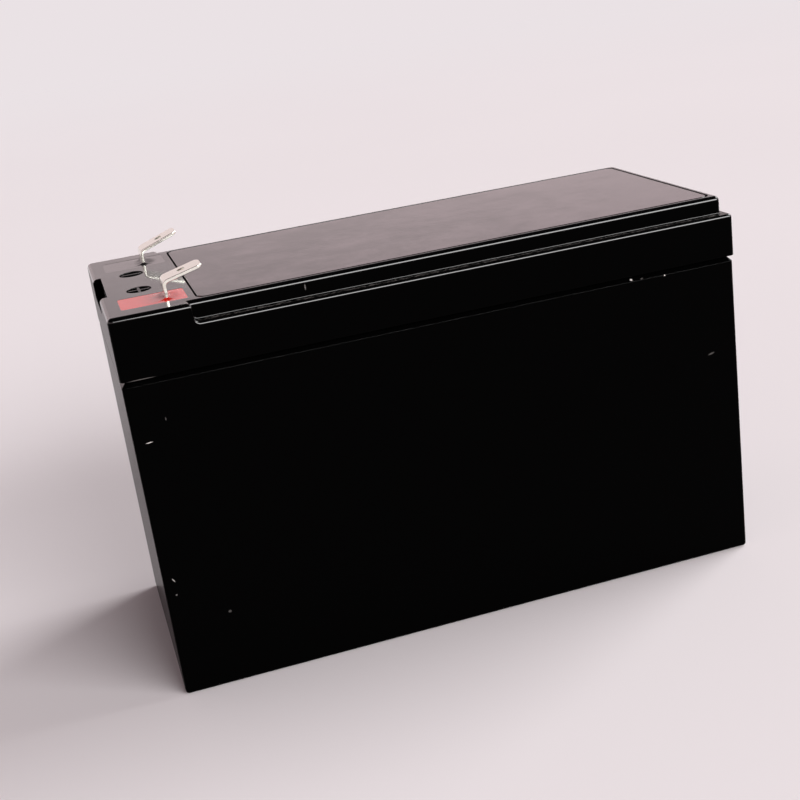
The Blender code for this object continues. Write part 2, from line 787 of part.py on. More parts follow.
def battery():
    for thing in list(bpy.data.objects):
        bpy.data.objects.remove(thing, do_unlink=True)
    case_plastic = finish("black_abs_container", (0.012, 0.012, 0.013), 0.30)
    lid_plastic = finish("black_abs_lid", (0.014, 0.014, 0.015), 0.25)
    cover_plastic = finish("black_abs_cover", (0.016, 0.016, 0.017), 0.28)
    rubber = finish("black_rubber", (0.020, 0.020, 0.020), 0.75)
    tinned = finish("tinned_brass", (0.780, 0.760, 0.700), 0.28, 1.0)
    red_epoxy = finish("red_epoxy", (0.550, 0.030, 0.020), 0.18)
    black_epoxy = finish("black_epoxy", (0.015, 0.015, 0.016), 0.18)
    glue = finish("lid_epoxy", (0.030, 0.028, 0.026), 0.40)
    positive = finish("lead_dioxide_plate", (0.130, 0.055, 0.030), 0.85)
    negative = finish("sponge_lead_plate", (0.230, 0.240, 0.250), 0.65)
    glass_mat = finish("glass_mat", (0.800, 0.800, 0.770), 0.95)
    lead = finish("cast_lead", (0.330, 0.340, 0.360), 0.50, 1.0)
    container(case_plastic)
    lid(lid_plastic)
    lid_adhesive(glue)
    vent_cover(cover_plastic)
    vent_caps(rubber)
    terminals(tinned)
    seal("positive_seal", -1, red_epoxy)
    seal("negative_seal", 1, black_epoxy)
    cells(positive, negative, glass_mat)
    bridges(lead)


battery()
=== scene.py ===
"""Looks of the sealed lead-acid battery: finer shells for what shows, a finish for every surface, light and
camera.

Metres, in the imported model's frame: X runs along the case with the tabs at the -X end, Y runs across it with
the positive side at -Y, Z is up, and the origin is the middle of the underside.
"""
import math

import bmesh
import bpy
import numpy as np
from mathutils import Euler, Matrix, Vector


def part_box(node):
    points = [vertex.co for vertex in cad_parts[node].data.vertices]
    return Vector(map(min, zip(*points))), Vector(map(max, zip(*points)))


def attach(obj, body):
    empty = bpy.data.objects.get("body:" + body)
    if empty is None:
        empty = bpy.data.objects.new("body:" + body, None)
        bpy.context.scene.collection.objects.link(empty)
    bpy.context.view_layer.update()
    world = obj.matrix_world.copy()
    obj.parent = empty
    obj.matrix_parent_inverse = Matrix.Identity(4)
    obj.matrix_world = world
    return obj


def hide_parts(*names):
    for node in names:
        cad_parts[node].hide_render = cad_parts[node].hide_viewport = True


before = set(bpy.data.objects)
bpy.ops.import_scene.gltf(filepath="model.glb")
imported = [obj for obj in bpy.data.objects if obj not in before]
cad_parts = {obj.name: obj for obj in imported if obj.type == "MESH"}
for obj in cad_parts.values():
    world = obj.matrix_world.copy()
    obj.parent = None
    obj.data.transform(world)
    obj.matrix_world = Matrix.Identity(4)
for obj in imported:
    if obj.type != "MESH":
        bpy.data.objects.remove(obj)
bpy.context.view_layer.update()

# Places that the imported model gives
LID_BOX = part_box("lid")
CONTAINER_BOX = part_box("container")
COVER_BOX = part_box("vent_cover")
SEAL_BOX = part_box("positive_seal")
TABS = {side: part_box(f"{pole}_terminal") for side, pole in ((-1, "positive"), (1, "negative"))}
HALF_LENGTH, HALF_WIDTH, HEIGHT = LID_BOX[1]
RIM_Z = CONTAINER_BOX[1].z

# Clearance between pieces that touch, and how far a cutter goes past what it cuts
FIT = 0.0003
CUT_PAST = 0.0010

# Container
LID_OVERHANG = 0.0004
TAB_END_OVERHANG = 0.0001
WALL = 0.0026
FLOOR = 0.0028
PARTITION = 0.0016
CORNER_RADIUS = 0.0012
FOOT_RADIUS = 0.0010
GROOVE_HEIGHT = 0.0014
CHAMFER_SLOPE = 45.0
SHOULDER_ROUND = 0.00005
RIM_INSET = 0.0014
CELL_CORNER = 0.0008
CELLS_PER_ROW = 3
PARTITION_DROP = 0.0023

# Lid
SKIRT_DEPTH = 0.0147
LEDGE_DROP = 0.00435
LEDGE_SIDE = 0.0025
LEDGE_END = 0.0018
LEDGE_THICKNESS = 0.0024
BLOCK_LENGTH = 0.0185
TOP_FILLET = 0.00115
LEDGE_FILLET = 0.00085
SKIRT_FILLET = 0.0002
LEDGE_FOOT = 0.0003
STEP_EDGE = 0.0003
BLOCK_FOOT = 0.0012
DECK_THICKNESS = 0.0022
CHAMBER_DEPTH = 0.0068
COVER_GAP = 0.0004
COVER_THICKNESS = 0.0020
COVER_CORNER = 0.0022
COVER_FILLET = 0.0003
COVER_STEP = 0.0014
EDGE_ROUND = 0.00015

# Lip of a cutter: how far it turns and its slope at the surface, in degrees, and how far it goes past it
LIP_TURN = 75.0
LIP_SLOPE = 8.0
LIP_PAST = 0.00002

# Vents
VENT_SHIFT = 0.0069
WELL_RADIUS = 0.00725
WELL_SINK = 0.0018
BOSS_WALL = 0.0015
NECK_RADIUS = 0.0037
NECK_BORE = 0.0022
CAP_TOP = 0.0012

# Tabs
TAB_WIDTH = 0.00635
TAB_THICKNESS = 0.0008
TAB_EDGE = 0.00014
TAB_RISE = 0.0039
TAB_REACH = 0.0093
TAB_TILT = math.radians(14.0)
NEGATIVE_RISE = 0.0032
NEGATIVE_TILT = math.radians(19.5)
TAB_BEND = 0.0012
TAB_TIP_LENGTH = 0.0010
TAB_TIP_NARROWING = 0.0008
TAB_TIP_THINNING = 0.00018
TAB_HOLE = 0.0009
TAB_HOLE_FROM_TIP = 0.0046
TAB_HOLE_WIDER = 0.00012
TAB_HOLE_ROUND = 0.00010

# Epoxy pockets, end notch and polarity marks
POCKET_CORNER = 0.0008
POCKET_DEPTH = 0.0030
POCKET_ROUND = 0.00005
SEAL_DROP = 0.00003
TAB_CLIMB = 0.00045
CLIMB_LENGTH = 0.0006
POST_RADIUS = 0.0043
NOTCH_WIDTH = 0.0216
NOTCH_DEPTH = 0.0020
DISH_RADIUS = 0.0029
DISH_DEPTH = 0.0005
DISH_ROUND = 0.00015
MARK_LENGTH = 0.0050
MARK_STROKE = 0.0007
MARK_BELOW = 0.00005
MARK_ROUND = 0.00010
MARK_FROM_END = 0.0094
MARK_FROM_MIDDLE = 0.0091
CORE_WALL = 0.0024
CORE_WIDTH = 0.0230

# Bars over the partitions, whose tongues hang from the lid
BRIDGE_WIDTH = 0.0080

# Nicks and scrapes of the front, with one painted highlight on the lid: middle, half length, half width, turn
# in degrees and strength
NICK_DEPTH = 0.0015
CASE_NICKS = (
    ((-0.0719, -0.0321, 0.0645), 0.0010, 0.00016, 4.0, 0.8),
    ((-0.0673, -0.0321, 0.0692), 0.0002, 0.0005, 0.0, 0.08),
    ((-0.0729, -0.0321, 0.0302), 0.0007, 0.0002, -58.0, 0.4),
    ((-0.0729, -0.0321, 0.0264), 0.0003, 0.0003, 0.0, 0.15),
    ((-0.0615, -0.0321, 0.0189), 0.0005, 0.0004, 0.0, 0.10),
    ((0.0678, -0.0321, 0.0553), 0.0011, 0.0003, 12.0, 0.10),
    ((0.0478, -0.0318, 0.0783), 0.0004, 0.0003, 0.0, 1.0),
    ((0.0505, -0.0318, 0.0781), 0.0005, 0.0002, 10.0, 0.10),
    ((0.0565, -0.0318, 0.0778), 0.00025, 0.00025, 0.0, 1.0),
)
LID_NICKS_AND_HIGHLIGHT = (
    # a painted highlight along the lid's lower edge near the left end
    ((-0.0708, -0.0325, 0.0794), 0.0037, 0.0002, 0.0, 0.15),
    ((-0.0310, -0.0300, 0.0920), 0.0002, 0.0009, 0.0, 0.20),
)

# Depths under the top between which dust with its painted reflection fades in and a dish loses its shine
DUST_AND_REFLECTION_FADE = (0.0007, 0.0006)
DISH_FADE = (0.0002, 0.0004)

# Where lint begins and is full, in from the outline and up the riser's foot, and how far from the block
LINT_FROM_EDGE = (0.0007, 0.0011)
LINT_FADE = (0.0006, 0.0003)
LINT_FROM_BLOCK = 0.0005

# The painted shade round a tab
TAB_SHADE_SHIFT = 0.0006
TAB_SHADE_REACH = (0.0032, 0.0052, 0.0030)

# Steps in a quarter turn: large corners, fillets, small or hidden corners and the tabs' edges
ARC_STEPS = 10
FILLET_STEPS = 6
SMALL_STEPS = 4
TAB_EDGE_STEPS = 3

# Sides of a round piece, the angle past which an edge is a crease and the least radius of a rounded corner
ROUND_SIDES = 48
CREASE = math.radians(30)
LEAST_RADIUS = 0.00015

# Heights this near are one, points this near are joined, and faces that turn less than this are one
NEAR = 0.00001
SAME_POINT = 0.000001
SAME_PLANE = math.radians(1.0)

# Floor and backdrop; the wall's top is given as the sine of its height
SWEEP_HALF = 60.0
SWEEP_THICKNESS = 0.02
SWEEP_BELOW = 0.00005
SWEEP_FADE = (0.4, 2.0)
BACKDROP = "#eae2e5"
WALL_TOP = (0.40, 0.47)

# Lamps and camera: metres, degrees, and millimetres for the lens
LAMPS_AWAY = 60.0
CAMERA_PLACE = (-0.084205, -0.315804, 0.163448)
CAMERA_TURNS = (70.5859, 7.5002, -16.6603)
FOCAL_LENGTH = 59.4307
SENSOR_WIDTH = 36.0
NEAREST_SEEN = 0.01

# Middle of each dish and the ellipsoid that holds it
DISHES = [(MARK_FROM_END - HALF_LENGTH, side * MARK_FROM_MIDDLE, HEIGHT) for side in (-1, 1)]
DISH_REACH = (1.25 * DISH_RADIUS, 1.25 * DISH_RADIUS, 0.0030)

# Places worked out from the sizes above
SKIRT_Z = HEIGHT - SKIRT_DEPTH
LEDGE_Z = HEIGHT - LEDGE_DROP
DECK_TOP = HEIGHT - CHAMBER_DEPTH
DECK_BOTTOM = DECK_TOP - DECK_THICKNESS
GROOVE_TOP = LEDGE_Z - LEDGE_THICKNESS
PARTITION_Z = DECK_BOTTOM - PARTITION_DROP
STEP_Z = HEIGHT - COVER_THICKNESS - FIT
WELL_FLOOR = DECK_TOP - WELL_SINK
NECK_TOP = STEP_Z - CAP_TOP - 2 * FIT
POCKET_FLOOR = HEIGHT - POCKET_DEPTH
BLOCK_X = BLOCK_LENGTH - HALF_LENGTH
SKIRT_WALL = LID_OVERHANG + RIM_INSET - FIT
RIM_INSIDE = LID_OVERHANG + WALL
CELL_LENGTH = (2 * HALF_LENGTH - 2 * RIM_INSIDE - (CELLS_PER_ROW - 1) * PARTITION) / CELLS_PER_ROW
CELL_DEPTH = (2 * HALF_WIDTH - 2 * RIM_INSIDE - PARTITION) / 2
CELL_PITCH = CELL_LENGTH + PARTITION
CELL_Y = (CELL_DEPTH + PARTITION) / 2
VENT_SPACING = CELL_PITCH - VENT_SHIFT
POST_X = TABS[-1][0].x + TAB_THICKNESS / 2
TAB_Y = -(TABS[-1][0].y + TABS[-1][1].y) / 2


# Outlines and surfaces

def rectangle(low, high, radius):
    """The four corners of a rectangle, each with the radius that rounds it."""
    return [
        (low[0], low[1], radius), (high[0], low[1], radius),
        (high[0], high[1], radius), (low[0], high[1], radius),
    ]


def rounded(corners, insets, steps=ARC_STEPS):
    """A right-angled outline moved inwards by each inset: every corner is a quarter circle, centre minus
    radius times a unit arm that swings from one side's inward normal to the next one's; the radius is the
    corner's own, less the inset on an outer corner and more on an inner one, but no less than the least."""
    corners = np.asarray(corners, float)
    insets = np.asarray(insets, float)[:, None]
    place, radius = corners[:, :2], corners[:, 2]
    before = place - np.roll(place, 1, axis=0)
    after = np.roll(place, -1, axis=0) - place
    before /= np.linalg.norm(before, axis=1, keepdims=True)
    after /= np.linalg.norm(after, axis=1, keepdims=True)
    inward = np.stack([-before[:, 1], before[:, 0]], axis=1), np.stack([-after[:, 1], after[:, 0]], axis=1)
    convex = np.sign(before[:, 0] * after[:, 1] - before[:, 1] * after[:, 0])
    reach = np.maximum(radius - convex * insets, LEAST_RADIUS)
    moved = convex * (reach + convex * insets)
    centre = place + moved[:, :, None] * (inward[0] + inward[1])
    turn = np.linspace(0.0, math.pi / 2, steps + 1)[:, None]
    arm = np.cos(turn) * inward[0][:, None] + np.sin(turn) * inward[1][:, None]
    points = centre[:, :, None] - (convex * reach)[:, :, None, None] * arm
    return points.reshape(len(insets), -1, 2)


def stacked(corners, levels, steps=ARC_STEPS):
    """Rings of one outline: a level is its height and how far the outline is inset there."""
    levels = np.asarray(levels, float)
    flat = rounded(corners, levels[:, 1], steps)
    height = np.broadcast_to(levels[:, 0, None, None], (*flat.shape[:2], 1))
    return np.concatenate([flat, height], axis=2)


def turned(profile, at, sides=ROUND_SIDES):
    """Rings of a turned form: each radius of the profile times the cosine and sine of the turn, at its own
    height."""
    profile = np.asarray(profile, float)
    turn = np.linspace(0.0, math.tau, sides, endpoint=False)
    rings = np.empty((len(profile), sides, 3))
    rings[..., 0] = at[0] + profile[:, :1] * np.cos(turn)
    rings[..., 1] = at[1] + profile[:, :1] * np.sin(turn)
    rings[..., 2] = profile[:, 1:]
    return rings


def block(low, high):
    """Two rings of a square-cornered box."""
    x, y = np.array([low[0], high[0], high[0], low[0]]), np.array([low[1], low[1], high[1], high[1]])
    return np.stack([np.stack([x, y, np.full(4, z)], axis=1) for z in (low[2], high[2])])


def along_y(points, low, high):
    """Two rings of an outline in X and Z, drawn out along Y."""
    points = np.asarray(points, float)
    return np.stack([np.insert(points, 1, y, axis=1) for y in (low, high)])


def hoop(outside, inside):
    """Rings that run up the outside of a hoop, over it, down the inside and back to the first."""
    return np.concatenate([outside, inside[::-1], outside[:1]])


def quarter_round(top, radius, steps=FILLET_STEPS):
    """Levels that round an upper edge off: height by the sine of the turn, inset by one less its cosine."""
    turn = np.linspace(0.0, math.pi / 2, steps + 1)
    return np.stack([top - radius + radius * np.sin(turn), radius - radius * np.cos(turn)], axis=1).tolist()


def flare(top, radius):
    """Levels of a cutter that opens outwards: a quarter round, height by the sine of the turn and inset by
    its cosine less one, stopped short and carried straight past the surface at a gentle slope."""
    turn = np.radians(np.linspace(0.0, LIP_TURN, FILLET_STEPS))
    levels = np.stack([top - radius + radius * np.sin(turn), radius * np.cos(turn) - radius], axis=1)
    run = (top + LIP_PAST - levels[-1, 0]) / math.tan(math.radians(LIP_SLOPE))
    return [*levels.tolist(), [top + LIP_PAST, levels[-1, 1] - run]]


def mesh_of(name, bodies):
    """A mesh of closed bodies: quads join each ring of points to the next, and the two end rings are filled,
    or where the last ring is the first again the body is a hoop."""
    points, faces, start = [], [], 0
    for rings in bodies:
        is_hoop = np.allclose(rings[0], rings[-1])
        rings = rings[:-1] if is_hoop else rings
        index = start + np.arange(rings.shape[0] * rings.shape[1]).reshape(rings.shape[:2])
        lower = index if is_hoop else index[:-1]
        upper = np.roll(index, -1, axis=0) if is_hoop else index[1:]
        quads = np.stack([lower, np.roll(lower, -1, axis=1), np.roll(upper, -1, axis=1), upper], axis=-1)
        faces += quads.reshape(-1, 4).tolist()
        if not is_hoop:
            faces += [index[0, ::-1].tolist(), index[-1].tolist()]
        points += rings.reshape(-1, 3).tolist()
        start += index.size
    mesh = bpy.data.meshes.new(name)
    mesh.from_pydata(points, [], faces)
    form = bmesh.new()
    form.from_mesh(mesh)
    bmesh.ops.recalc_face_normals(form, faces=form.faces)
    form.to_mesh(mesh)
    form.free()
    return mesh


def linked(name, mesh):
    """An object that shows a mesh, at the origin."""
    thing = bpy.data.objects.new(name, mesh)
    bpy.context.scene.collection.objects.link(thing)
    return thing


def settle(thing):
    """Puts the outcome of an object's modifiers into its mesh."""
    bpy.context.view_layer.update()
    graph = bpy.context.evaluated_depsgraph_get()
    mesh = bpy.data.meshes.new_from_object(thing.evaluated_get(graph))
    thing.modifiers.clear()
    thing.data = mesh


def change(thing, operation, bodies):
    """Joins closed bodies to an object, cuts them from it or keeps what it shares with them."""
    helper = linked("helper", mesh_of("helper", bodies))
    step = thing.modifiers.new("change", "BOOLEAN")
    step.operation = operation
    step.object = helper
    settle(thing)
    bpy.data.objects.remove(helper)


def shown(thing, node, material):
    """Gives a finished piece its shading, finish and body, and hides the imported piece that it stands for."""
    mesh = thing.data
    mesh.materials.clear()
    mesh.materials.append(material)
    mesh.shade_smooth()
    mesh.set_sharp_from_angle(angle=CREASE)
    flatten = thing.modifiers.new("flat faces lead the shading", "WEIGHTED_NORMAL")
    flatten.keep_sharp = True
    flatten.weight = 50
    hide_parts(node)
    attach(thing, "root")
    return thing


# Case

def outer(inset):
    """Corners of the lid's outline, moved inwards."""
    return rectangle(
        (inset - HALF_LENGTH, inset - HALF_WIDTH),
        (HALF_LENGTH - inset, HALF_WIDTH - inset),
        max(CORNER_RADIUS - inset, CELL_CORNER),
    )


def cell_places():
    """Each cell's middle; the cells run along the front row and back along the other."""
    for row in (-1, 1):
        for column in range(CELLS_PER_ROW):
            yield row * CELL_PITCH * ((CELLS_PER_ROW - 1) / 2 - column), row * CELL_Y


def bridge_boxes(reach_along, widen, lift, top):
    """A box at each partition that a lead bar crosses: it reaches so far along the bar, is so much wider on
    each side, starts so far above the bar's underside and ends at the top given."""
    cells = list(cell_places())
    for number, ((x1, y1), (x2, y2)) in enumerate(zip(cells, cells[1:]), start=1):
        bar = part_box(f"cell_bridge_{number}_{number + 1}")
        half_width = BRIDGE_WIDTH / 2 + widen
        if y1 == y2:
            middle, half = ((x1 + x2) / 2, y1), (reach_along, half_width)
        else:
            middle, half = ((bar[0].x + bar[1].x) / 2, 0.0), (half_width, reach_along)
        yield block(
            (middle[0] - half[0], middle[1] - half[1], bar[0].z + lift),
            (middle[0] + half[0], middle[1] + half[1], top),
        )


def case_body(material):
    """The container: an outline carried up a foot rounded by a quarter circle, a straight wall, a chamfer
    under the lid and a thin rim, hollowed into six cells."""
    turn = np.linspace(math.pi / 2, 0.0, FILLET_STEPS + 3)
    foot = np.stack([FOOT_RADIUS * (1 - np.sin(turn)), FOOT_RADIUS * (1 - np.cos(turn))], axis=1)
    shoulder = SKIRT_Z - GROOVE_HEIGHT
    lean = np.radians(np.linspace(0.0, CHAMFER_SLOPE, SMALL_STEPS))
    back = SHOULDER_ROUND * math.tan(math.radians(CHAMFER_SLOPE / 2))
    bend = [shoulder - back + SHOULDER_ROUND * np.sin(lean), SHOULDER_ROUND - SHOULDER_ROUND * np.cos(lean)]
    bend = np.stack(bend, axis=1)
    levels = [*foot.tolist(), *bend.tolist(), (SKIRT_Z, RIM_INSET), (RIM_Z, RIM_INSET)]
    outline = rectangle(
        (TAB_END_OVERHANG - HALF_LENGTH, LID_OVERHANG - HALF_WIDTH),
        (HALF_LENGTH - LID_OVERHANG, HALF_WIDTH - LID_OVERHANG),
        max(CORNER_RADIUS - LID_OVERHANG, CELL_CORNER),
    )
    body = linked("case_body", mesh_of("case_body", [stacked(outline, levels)]))
    half = CELL_LENGTH / 2, CELL_DEPTH / 2
    hollows = [
        stacked(
            rectangle((x - half[0], y - half[1]), (x + half[0], y + half[1]), CELL_CORNER),
            [(FLOOR, 0.0), (RIM_Z + CUT_PAST, 0.0)],
            steps=SMALL_STEPS,
        )
        for x, y in cell_places()
    ]
    change(body, "DIFFERENCE", hollows)
    over_partitions = [(PARTITION_Z, 0.0), (RIM_Z + CUT_PAST, 0.0)]
    change(body, "DIFFERENCE", [stacked(outer(RIM_INSIDE), over_partitions, steps=SMALL_STEPS)])
    change(body, "DIFFERENCE", list(bridge_boxes(PARTITION, FIT, -FIT, RIM_Z)))
    return shown(body, "container", material)


# Lid

def lid_outside():
    """The lid's outside with sharp edges: a side view drawn out across the case, with a quarter circle where
    the ledge meets the terminal block, joined to the cover platform and trimmed to the rounded outline from
    above."""
    turn = np.linspace(0.0, math.pi / 2, ARC_STEPS)
    end = HALF_LENGTH + CUT_PAST
    rise_x = BLOCK_X + BLOCK_FOOT - BLOCK_FOOT * np.sin(turn)
    rise_z = LEDGE_Z + BLOCK_FOOT - BLOCK_FOOT * np.cos(turn)
    rise = np.stack([rise_x, rise_z], axis=1).tolist()
    side_view = [(-end, SKIRT_Z), (end, SKIRT_Z), (end, LEDGE_Z), *rise, (BLOCK_X, HEIGHT), (-end, HEIGHT)]
    across = HALF_WIDTH + CUT_PAST
    lid = linked("lid_moulding", mesh_of("lid_moulding", [along_y(side_view, -across, across)]))
    platform = rectangle(
        (BLOCK_X - CORNER_RADIUS - CUT_PAST, LEDGE_SIDE - HALF_WIDTH),
        (HALF_LENGTH - LEDGE_END, HALF_WIDTH - LEDGE_SIDE),
        CORNER_RADIUS,
    )
    change(lid, "UNION", [stacked(platform, [(LEDGE_Z - CUT_PAST, 0.0), (HEIGHT, 0.0)])])
    trim = [(SKIRT_Z - CUT_PAST, 0.0), (HEIGHT + CUT_PAST, 0.0)]
    change(lid, "INTERSECT", [stacked(outer(0.0), trim)])
    return lid


def edge_radius(edge):
    """The radius that rounds an edge of the lid, by where it lies and which way it bends."""
    bend = edge.calc_face_angle_signed(0.0)
    heights = sorted(vertex.co.z for vertex in edge.verts)
    if abs(bend) < CREASE:
        return 0.0
    if heights[0] > HEIGHT - NEAR:
        return TOP_FILLET
    if heights[1] < SKIRT_Z + NEAR:
        return SKIRT_FILLET
    if bend < 0.0:
        return LEDGE_FOOT
    # it shrinks evenly round the foot of the terminal block's step
    climb = min(max((sum(heights) / 2 - LEDGE_Z) / BLOCK_FOOT, 0.0), 1.0)
    return LEDGE_FILLET + (STEP_EDGE - LEDGE_FILLET) * math.acos(1.0 - climb) / (math.pi / 2)


def soften(lid):
    """Rounds the lid's edges: each has its own radius."""
    form = bmesh.new()
    form.from_mesh(lid.data)
    bmesh.ops.remove_doubles(form, verts=form.verts, dist=SAME_POINT)
    bmesh.ops.dissolve_limit(form, angle_limit=SAME_PLANE, verts=form.verts, edges=form.edges)
    weight = form.edges.layers.float.new("bevel_weight_edge")
    for edge in form.edges:
        edge[weight] = edge_radius(edge) / TOP_FILLET
    form.to_mesh(lid.data)
    form.free()
    bevel = lid.modifiers.new("rounded edges", "BEVEL")
    bevel.limit_method = "WEIGHT"
    bevel.width = TOP_FILLET
    bevel.segments = FILLET_STEPS
    bevel.use_clamp_overlap = False
    settle(lid)


def recess(inset):
    """Corners of the recess that takes the vent cover, moved inwards."""
    return rectangle(
        (COVER_BOX[0].x - COVER_GAP + inset, COVER_BOX[0].y - COVER_GAP + inset),
        (COVER_BOX[1].x + COVER_GAP - inset, COVER_BOX[1].y + COVER_GAP - inset),
        COVER_CORNER,
    )


def pocket(side, inset):
    """Corners of the epoxy pocket on one side, moved inwards."""
    low, high = SEAL_BOX
    middle = side * TAB_Y
    half = (high.y - low.y) / 2 + FIT - inset
    return rectangle(
        (low.x - FIT + inset, middle - half), (high.x + FIT - inset, middle + half), POCKET_CORNER
    )


def vent_places():
    """The middle of each vent."""
    for column in range(CELLS_PER_ROW):
        for row in (-1, 1):
            yield VENT_SPACING * (column - (CELLS_PER_ROW - 1) / 2), row * CELL_Y


def hollow_lid(lid):
    """Room under the deck, the glue channel, the terminal block's core and the ribs over the partitions."""
    change(lid, "DIFFERENCE", [stacked(outer(SKIRT_WALL), [(SKIRT_Z - CUT_PAST, 0.0), (DECK_BOTTOM, 0.0)])])
    channel = [(DECK_BOTTOM - CUT_PAST, 0.0), (GROOVE_TOP, 0.0)]
    glue = hoop(stacked(outer(SKIRT_WALL), channel), stacked(outer(RIM_INSIDE + FIT), channel))
    change(lid, "DIFFERENCE", [glue])
    core = block(
        (RIM_INSIDE + CORE_WALL - HALF_LENGTH, -CORE_WIDTH / 2, DECK_BOTTOM - CUT_PAST),
        (BLOCK_X - CORE_WALL, CORE_WIDTH / 2, HEIGHT - CORE_WALL),
    )
    change(lid, "DIFFERENCE", [core])
    inside, half = RIM_INSIDE + FIT, PARTITION / 2
    low, high = PARTITION_Z + FIT, DECK_BOTTOM + FIT
    change(lid, "UNION", [block((inside - HALF_LENGTH, -half, low), (HALF_LENGTH - inside, half, high))])
    crossings = [(column + 1 - CELLS_PER_ROW / 2) * CELL_PITCH for column in range(CELLS_PER_ROW - 1)]
    reach = HALF_WIDTH - inside
    change(lid, "UNION", [block((x - half, -reach, low), (x + half, reach, high)) for x in crossings])
    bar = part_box("cell_bridge_1_2")
    change(lid, "UNION", list(bridge_boxes(half, 0.0, bar[1].z - bar[0].z + FIT, high)))


def vent_deck(lid):
    """Recess for the cover, the gas chamber under it and a well with a bored neck for each cell."""
    places = list(vent_places())
    change(lid, "DIFFERENCE", [stacked(recess(0.0), [(STEP_Z, 0.0), *flare(HEIGHT, EDGE_ROUND)])])
    chamber = [(DECK_TOP, 0.0), (STEP_Z + CUT_PAST, 0.0)]
    change(lid, "DIFFERENCE", [stacked(recess(COVER_STEP), chamber, steps=SMALL_STEPS)])
    boss, floor = WELL_RADIUS + BOSS_WALL, WELL_FLOOR - DECK_THICKNESS
    change(lid, "UNION", [turned([(boss, floor), (boss, DECK_TOP - FIT)], at) for at in places])
    well = [(WELL_RADIUS, WELL_FLOOR), (WELL_RADIUS, DECK_TOP + CUT_PAST)]
    change(lid, "DIFFERENCE", [turned(well, at) for at in places])
    neck = [(NECK_RADIUS, WELL_FLOOR - FIT), (NECK_RADIUS, NECK_TOP)]
    change(lid, "UNION", [turned(neck, at) for at in places])
    bore = [(NECK_BORE, floor - CUT_PAST), (NECK_BORE, NECK_TOP + CUT_PAST)]
    change(lid, "DIFFERENCE", [turned(bore, at) for at in places])


def cross(length, stroke, radius):
    """The twelve corners of an upright cross round the origin."""
    far, near = length / 2, stroke / 2
    arm = np.array([(far, -near), (far, near), (near, near)])
    points = []
    for _ in range(4):
        points += [(x, y, radius) for x, y in arm.tolist()]
        arm = np.stack([-arm[:, 1], arm[:, 0]], axis=1)
    return points


def terminal_end(lid):
    """Epoxy pockets with a hole for each post, the notch in the end and the polarity marks."""
    levels = [(POCKET_FLOOR, 0.0), *flare(HEIGHT, POCKET_ROUND)]
    change(lid, "DIFFERENCE", [stacked(pocket(side, 0.0), levels) for side in (-1, 1)])
    hole = [(POST_RADIUS + FIT, DECK_BOTTOM - CUT_PAST), (POST_RADIUS + FIT, POCKET_FLOOR + CUT_PAST)]
    change(lid, "DIFFERENCE", [turned(hole, (POST_X, side * TAB_Y)) for side in (-1, 1)])
    notch = rectangle(
        (-HALF_LENGTH - CUT_PAST, -NOTCH_WIDTH / 2), (NOTCH_DEPTH - HALF_LENGTH, NOTCH_WIDTH / 2), EDGE_ROUND
    )
    change(lid, "DIFFERENCE", [stacked(notch, [(LEDGE_Z, 0.0), *flare(HEIGHT, EDGE_ROUND)])])
    polarity_marks(lid)


def polarity_marks(lid):
    """A round dish beside each pocket, its edge flared like the pockets', with the mark standing in it: a
    cross or a bar whose upper edges are quarter rounds."""
    x, y = MARK_FROM_END - HALF_LENGTH, MARK_FROM_MIDDLE
    low, high = HEIGHT - DISH_DEPTH, HEIGHT - MARK_BELOW
    edge = [(DISH_RADIUS - inset, z) for z, inset in flare(HEIGHT, DISH_ROUND)]
    change(lid, "DIFFERENCE", [turned([(DISH_RADIUS, low), *edge], (x, side * y)) for side in (-1, 1)])
    levels = [(low - FIT, 0.0), *quarter_round(high, MARK_ROUND)]
    plus = stacked(cross(MARK_LENGTH, MARK_STROKE, 2 * MARK_ROUND), levels, steps=SMALL_STEPS)
    plus[..., :2] += (x, -y)
    half = MARK_LENGTH / 2, MARK_STROKE / 2
    bar = rectangle((x - half[0], y - half[1]), (x + half[0], y + half[1]), 2 * MARK_ROUND)
    change(lid, "UNION", [plus, stacked(bar, levels, steps=SMALL_STEPS)])


def lid_moulding(material):
    """The whole lid: its outside, rounded edges, hollows, vent deck and terminal end."""
    lid = lid_outside()
    soften(lid)
    hollow_lid(lid)
    vent_deck(lid)
    terminal_end(lid)
    return shown(lid, "lid", material)


def vent_cover_strip(material):
    """The flat strip over the vents: its outline carried up to a quarter-round edge."""
    levels = [(COVER_BOX[0].z, 0.0), *quarter_round(HEIGHT, COVER_FILLET)]
    strip = linked("vent_cover_strip", mesh_of("vent_cover_strip", [stacked(recess(COVER_GAP), levels)]))
    return shown(strip, "vent_cover", material)


# Tabs and the epoxy round them

def tab_line(rise, tilt):
    """Middle line of a tab as points, the direction along it and how much its section shrinks: straight up, a
    circular bend, straight out at the tilt, and a tip that tapers by a quarter sine."""
    up, out = np.array([0.0, 0.0, 1.0]), np.array([math.cos(tilt), 0.0, math.sin(tilt)])
    turn = math.pi / 2 - tilt
    trim = TAB_BEND * math.tan(turn / 2)
    reach = TAB_REACH + TAB_RISE - rise
    elbow = up * (HEIGHT + rise)
    centre = elbow - trim * up + (TAB_BEND, 0.0, 0.0)
    angle = np.linspace(0.0, turn, 2 * ARC_STEPS)[:, None]
    zero = np.zeros_like(angle)
    bend = centre + TAB_BEND * np.concatenate([-np.cos(angle), zero, np.sin(angle)], axis=1)
    bend_way = np.concatenate([np.sin(angle), zero, np.cos(angle)], axis=1)
    foot = up * TABS[-1][0].z
    taper = np.linspace(0.0, 1.0, FILLET_STEPS)[:, None]
    tip = elbow + (reach - TAB_TIP_LENGTH * (1.0 - taper)) * out
    line = np.concatenate([foot[None], bend, tip])
    way = np.concatenate([up[None], bend_way, np.repeat(out[None], FILLET_STEPS, axis=0)])
    shrink = np.concatenate([np.zeros(1 + len(bend)), 1.0 - np.cos(taper[:, 0] * math.pi / 2)])
    return line, way, shrink


